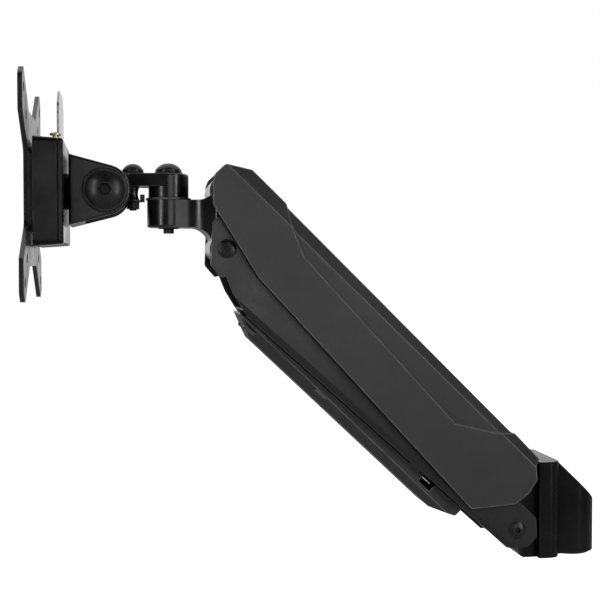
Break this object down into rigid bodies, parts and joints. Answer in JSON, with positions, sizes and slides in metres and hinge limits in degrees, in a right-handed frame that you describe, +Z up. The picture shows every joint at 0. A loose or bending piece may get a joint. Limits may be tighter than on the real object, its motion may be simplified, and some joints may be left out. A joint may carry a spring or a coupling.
{
  "type": "monitor arm",
  "caption": "Gas-spring monitor arm segment: bored rear bracket, parallel lift links with moulded covers, swivelling knuckle, tilt bracket and quick-release monitor plate.",
  "frame": {"origin": "centre of the rear bracket's vertical post bore, at its mouth", "axes": "+Z up along the post bore; the arm reaches towards -X in the plane Y = 0 and the monitor plate faces -X; stored with the arm raised to its 44 degree position"},
  "size_m": [0.332, 0.1164, 0.2732],
  "materials": {
    "cast_black": "satin black powder coat on zinc or aluminium castings",
    "sheet_black": "satin black powder coat on sheet steel",
    "cover_black": "fine-grained black moulded plastic",
    "bolt_black": "black oxide, lightly oiled",
    "zinc_steel": "bright zinc plate",
    "yellow_zinc": "yellow zinc plate",
    "anchor_steel": "plain machined steel",
    "black_nylon": "black nylon",
    "spring_tube_black": "gloss black enamel",
    "rod_chrome": "hard chrome"
  },
  "bodies": {
    "rear_bracket": {"rear_bracket": "cast_black", "post_bush": "black_nylon", "rear_lower_pins": "zinc_steel", "rear_lower_screws": "bolt_black", "rear_lower_spacers": "black_nylon", "rear_upper_pins": "zinc_steel", "rear_upper_washers": "black_nylon"},
    "tension_screw": {"tension_screw": "bolt_black", "tension_screw_clip": "zinc_steel"},
    "spring_anchor": {"spring_anchor": "anchor_steel", "spring_anchor_pin": "zinc_steel"},
    "upper_link": {"upper_link": "sheet_black", "upper_link_bushes": "black_nylon", "arm_cover": "cover_black", "spring_front_pin": "zinc_steel", "gas_spring_tube": "spring_tube_black", "gas_spring_rod_guide": "black_nylon", "gas_spring_front_eye": "anchor_steel"},
    "gas_spring_rod": {"gas_spring_rod": "rod_chrome", "gas_spring_rear_eye": "anchor_steel"},
    "lower_link": {"lower_link": "sheet_black", "lower_link_bushes": "black_nylon", "cable_cover": "cover_black"},
    "knuckle": {"knuckle": "cast_black", "front_lower_pin": "zinc_steel", "front_lower_screws": "bolt_black", "front_lower_spacers": "black_nylon", "front_upper_pin": "zinc_steel", "front_upper_washers": "black_nylon", "swivel_friction_disc": "black_nylon", "swivel_bolt": "bolt_black", "swivel_bolt_washer": "bolt_black", "swivel_bolt_nut": "bolt_black"},
    "swivel_link": {"swivel_link": "cast_black", "swivel_link_sleeves": "black_nylon"},
    "tilt_hub": {"tilt_hub": "cast_black", "head_bolt": "bolt_black", "head_bolt_washer": "bolt_black", "head_lock_washer": "bolt_black", "head_bolt_nut": "bolt_black"},
    "tilt_bracket": {"tilt_bracket": "cast_black", "tilt_bolt": "bolt_black", "tilt_bolt_nut": "bolt_black", "tilt_bolt_rings": "bolt_black", "tilt_friction_washers": "black_nylon", "rotation_bolt": "bolt_black", "rotation_washer": "black_nylon", "rotation_bolt_nut": "zinc_steel", "rotation_disc_spring": "zinc_steel"},
    "monitor_head": {"release_block": "cast_black", "latch_pin": "zinc_steel", "lock_screw": "yellow_zinc", "adapter_plate": "sheet_black", "vesa_plate": "sheet_black", "vesa_plate_screws": "bolt_black"},
    "release_latch": {"release_latch": "zinc_steel"}
  },
  "joints": [
    {"name": "lift", "type": "hinge", "parent": "rear_bracket", "child": "upper_link", "pos_m": [-0.041, 0, 0.05], "axis": [0, 1, 0], "range_deg": [-80, 3]},
    {"name": "lower_link_lift", "type": "hinge", "parent": "rear_bracket", "child": "lower_link", "pos_m": [-0.041, 0, 0.018], "axis": [0, 1, 0], "range_deg": [-81, 4]},
    {"name": "knuckle_level", "type": "hinge", "parent": "upper_link", "child": "knuckle", "pos_m": [-0.20861, 0, 0.21185], "axis": [0, 1, 0], "range_deg": [-4, 81]},
    {"name": "gas_spring_stroke", "type": "slide", "parent": "upper_link", "child": "gas_spring_rod", "axis": [0.6877, 0, -0.726], "range_m": [-0.015, 0.0008]},
    {"name": "tension_screw_turn", "type": "hinge", "parent": "rear_bracket", "child": "tension_screw", "pos_m": [-0.0265, 0, 0.02], "axis": [0, 0, 1], "range_deg": [-370, 370]},
    {"name": "spring_anchor_travel", "type": "slide", "parent": "rear_bracket", "child": "spring_anchor", "axis": [0, 0, 1], "range_m": [-0.0008, 0.0008]},
    {"name": "arm_end_swivel", "type": "hinge", "parent": "knuckle", "child": "swivel_link", "pos_m": [-0.2395, 0, 0.21185], "axis": [0, 0, 1], "range_deg": [-70, 70]},
    {"name": "head_swivel", "type": "hinge", "parent": "swivel_link", "child": "tilt_hub", "pos_m": [-0.2594, 0, 0.21185], "axis": [0, 0, -1], "range_deg": [-50, 50]},
    {"name": "head_tilt", "type": "hinge", "parent": "tilt_hub", "child": "tilt_bracket", "pos_m": [-0.2746, 0, 0.21185], "axis": [0, 1, 0], "range_deg": [-35, 35]},
    {"name": "head_rotation", "type": "hinge", "parent": "tilt_bracket", "child": "monitor_head", "pos_m": [-0.3, 0, 0.21185], "axis": [1, 0, 0], "range_deg": [-180, 180]},
    {"name": "latch_press", "type": "hinge", "parent": "monitor_head", "child": "release_latch", "pos_m": [-0.3024, 0, 0.22406], "axis": [0, 1, 0], "range_deg": [-4, 0], "stiffness_Nm_per_rad": 0.5, "springref_deg": 2.86}
  ],
  "couplings": [
    {"joint": "lower_link_lift", "follows": "lift", "ratio": 1},
    {"joint": "knuckle_level", "follows": "lift", "ratio": -1},
    {"joint": "gas_spring_stroke", "follows": "lift", "m_per_rad": 0.01016},
    {"joint": "tension_screw_turn", "follows": "spring_anchor_travel", "rad_per_m": 7854}
  ]
}
